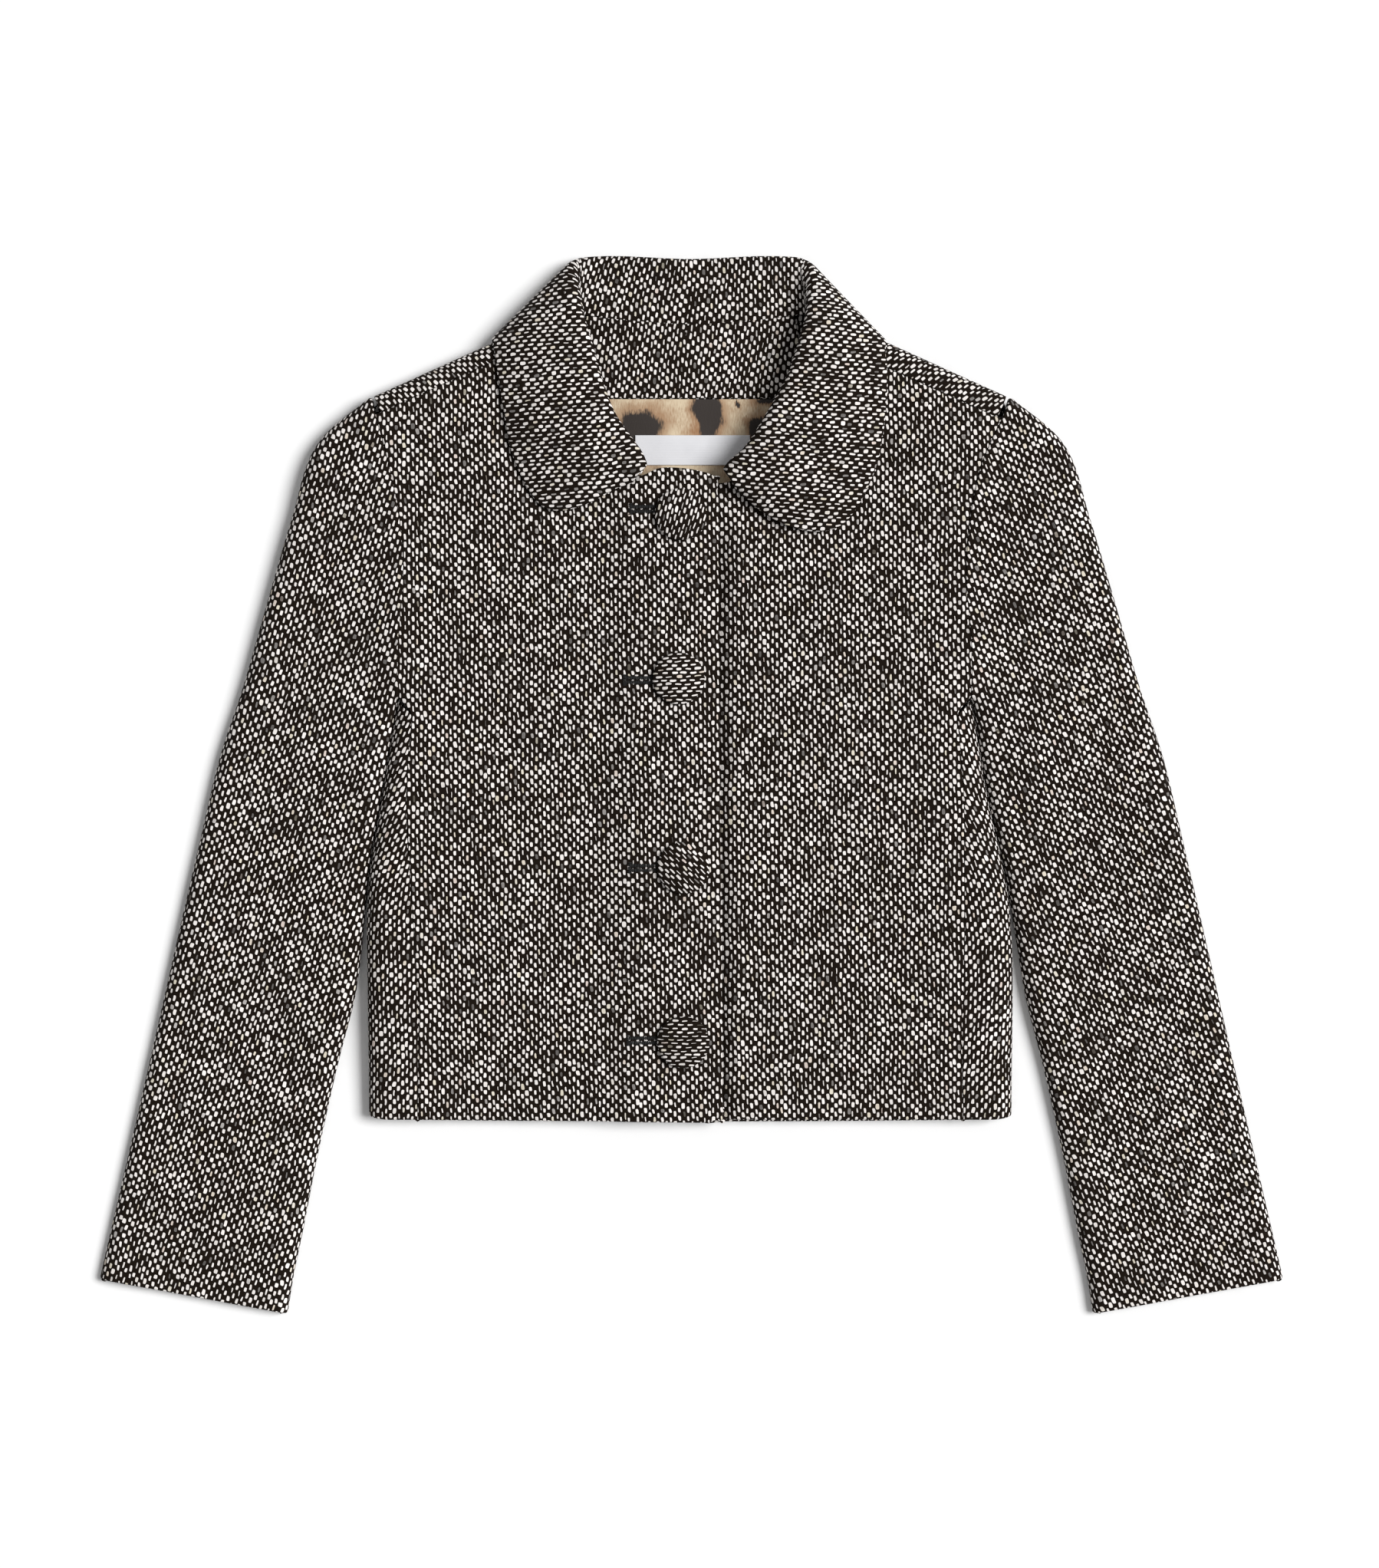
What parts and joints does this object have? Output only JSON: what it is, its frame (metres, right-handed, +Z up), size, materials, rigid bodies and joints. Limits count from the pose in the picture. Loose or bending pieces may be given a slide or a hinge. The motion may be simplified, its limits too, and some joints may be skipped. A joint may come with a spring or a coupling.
{
  "type": "jacket",
  "caption": "Girl's cropped tweed jacket laid flat, with a rounded collar, covered buttons down its lapped front, long plain sleeves and a printed lining inside the neck.",
  "frame": {"origin": "middle of the bounding box, on the surface that the jacket lies on", "axes": "+X to the wearer's left, +Y from the hem to the neck, +Z up from the surface"},
  "size_m": [0.616, 0.5522, 0.0279],
  "materials": {
    "tweed": "coarse black and cream wool tweed",
    "lining": "spotted brown print, smooth",
    "label": "plain satin weave",
    "covered_button": "tweed drawn over a domed form"
  },
  "bodies": {
    "root": {"back": "tweed", "right_front": "tweed", "left_front": "tweed", "right_sleeve": "tweed", "left_sleeve": "tweed", "collar": "tweed", "back_neck_facing": "tweed", "back_lining": "lining", "label": "label", "button_1": "covered_button", "button_2": "covered_button", "button_3": "covered_button", "button_4": "covered_button"}
  },
  "joints": []
}
